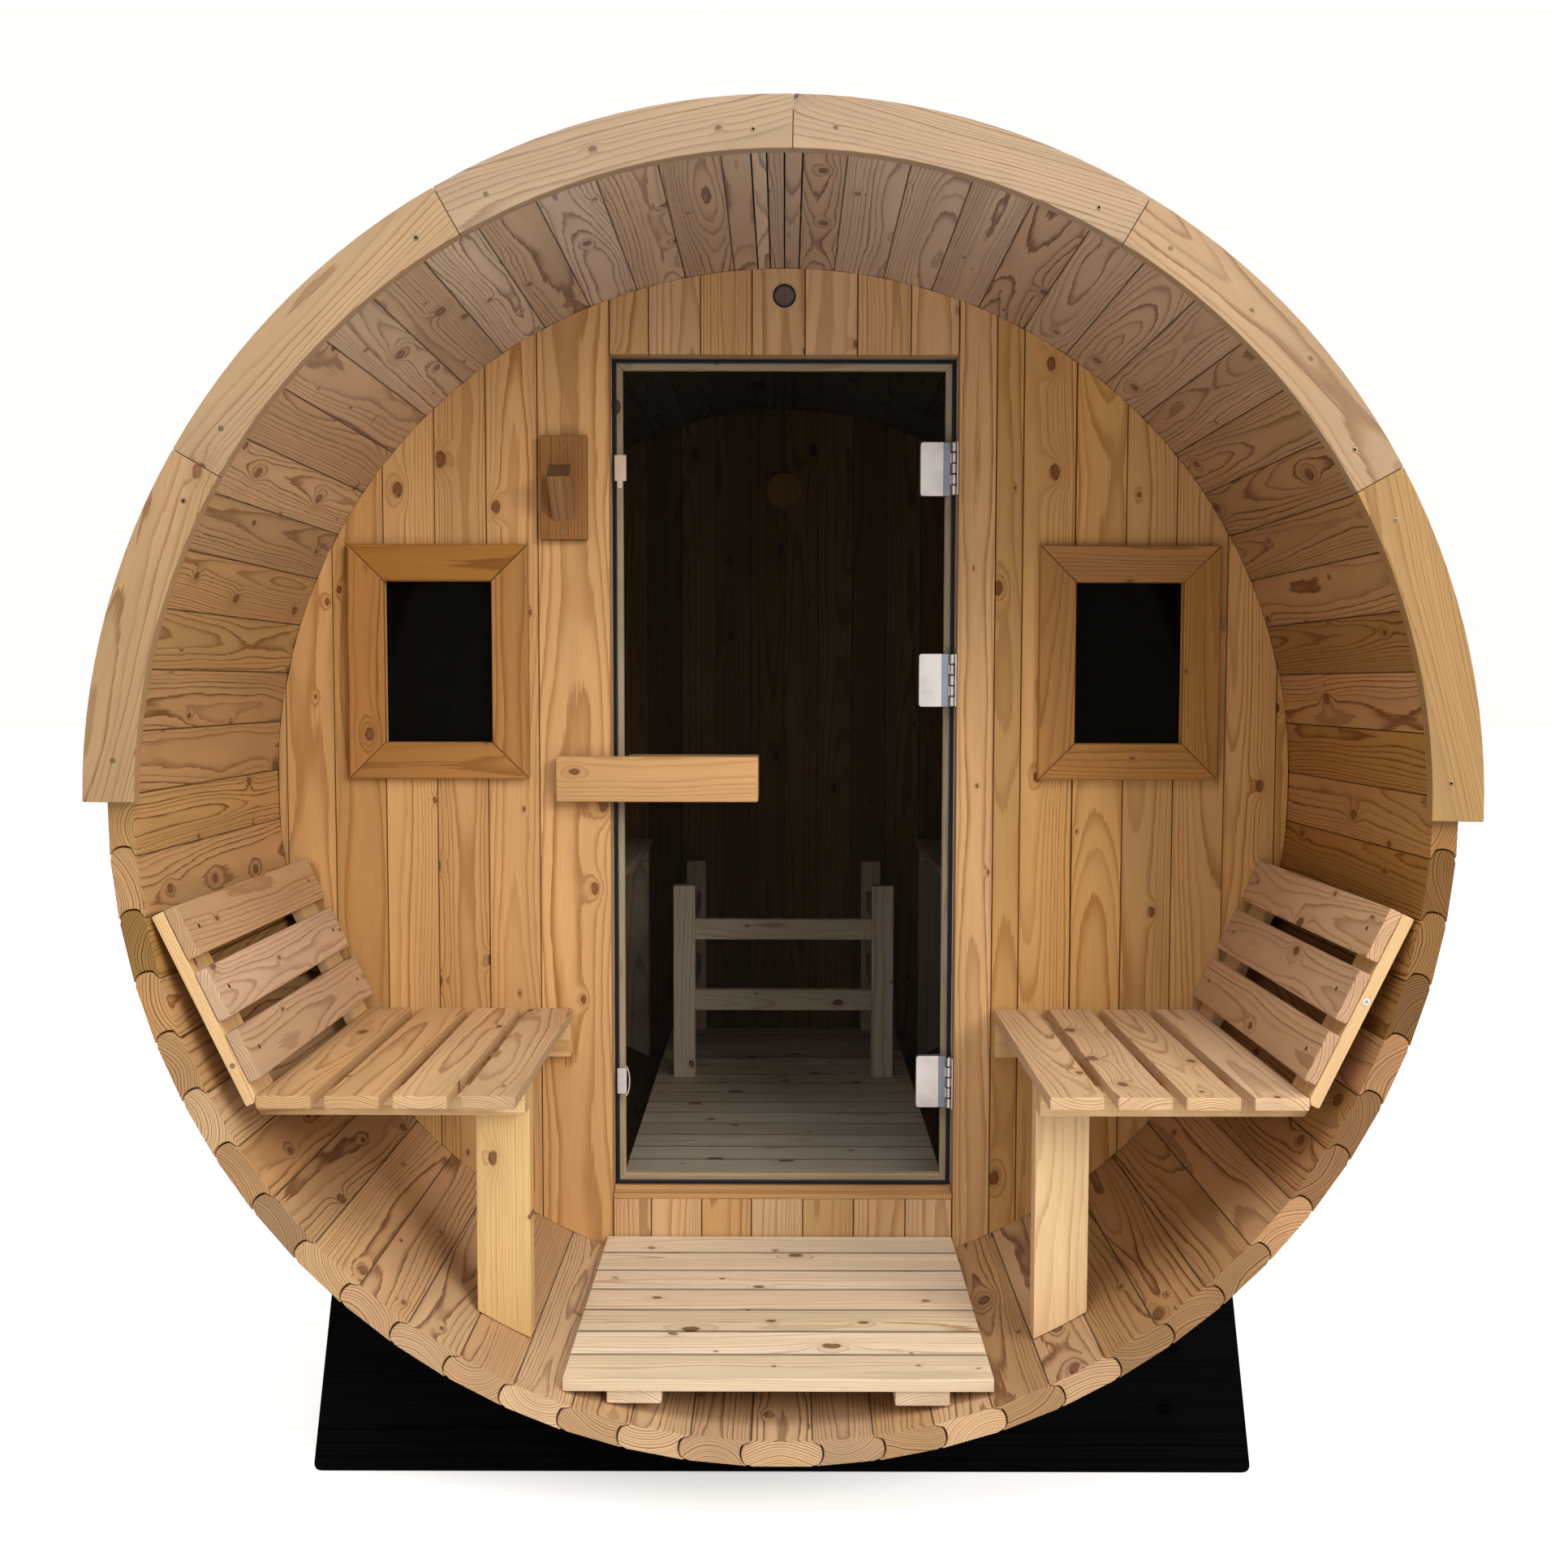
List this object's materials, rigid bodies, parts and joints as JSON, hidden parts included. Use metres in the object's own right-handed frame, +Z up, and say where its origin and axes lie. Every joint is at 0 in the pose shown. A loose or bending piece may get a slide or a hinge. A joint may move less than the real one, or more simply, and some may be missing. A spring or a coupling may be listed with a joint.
{
  "type": "barrel sauna",
  "caption": "Round timber barrel sauna lying on cradles, with an open porch, slatted benches, a hinged glass door in the front wall and small framed windows.",
  "frame": {"origin": "on the ground, in the middle of the bounding box", "axes": "+X to the right of someone facing the door, +Y from the porch to the back, +Z up"},
  "size_m": [2.1778, 2.4506, 2.2609],
  "materials": {
    "stave_wood": "planed, oiled",
    "wall_wood": "planed",
    "trim_wood": "planed",
    "fascia_wood": "planed",
    "bench_wood": "planed",
    "floor_wood": "planed",
    "black_wood": "black stain",
    "roof_felt": "bitumen with slate grit",
    "hoop_steel": "galvanised",
    "steel": "satin",
    "vent_plastic": "matt",
    "glass": "grey tint"
  },
  "bodies": {
    "cabin": {"bottom_staves": "stave_wood", "left_staves": "stave_wood", "right_staves": "stave_wood", "top_staves": "stave_wood", "front_fascia": "fascia_wood", "rear_fascia": "fascia_wood", "roof_covering": "roof_felt", "barrel_hoops": "hoop_steel", "front_wall_left": "wall_wood", "front_wall_right": "wall_wood", "front_wall_over_door": "wall_wood", "front_wall_under_door": "wall_wood", "back_wall": "wall_wood", "door_sill": "floor_wood", "door_frame": "trim_wood", "left_window_trim": "trim_wood", "right_window_trim": "trim_wood", "left_window_glass": "glass", "right_window_glass": "glass", "front_vent": "vent_plastic", "rear_valve": "trim_wood", "robe_hook": "trim_wood", "frame_hinges": "steel", "left_bench_slats": "bench_wood", "right_bench_slats": "bench_wood", "left_bench_frame": "bench_wood", "right_bench_frame": "bench_wood", "porch_floor_boards": "floor_wood", "porch_floor_runners": "floor_wood", "cabin_floor_boards": "floor_wood", "cabin_floor_runners": "floor_wood", "left_inner_slats": "bench_wood", "right_inner_slats": "bench_wood", "left_inner_frame": "bench_wood", "right_inner_frame": "bench_wood", "heater_guard": "bench_wood", "front_cradle": "black_wood", "rear_cradle": "black_wood"},
    "door": {"door_glass": "glass", "door_handle": "bench_wood", "door_hinges": "steel", "door_catches": "steel"}
  },
  "joints": [
    {"name": "door_hinge", "type": "hinge", "parent": "cabin", "child": "door", "pos_m": [0.34, -0.484, 1.172], "axis": [0, 0, 1], "range_deg": [0, 90]}
  ]
}
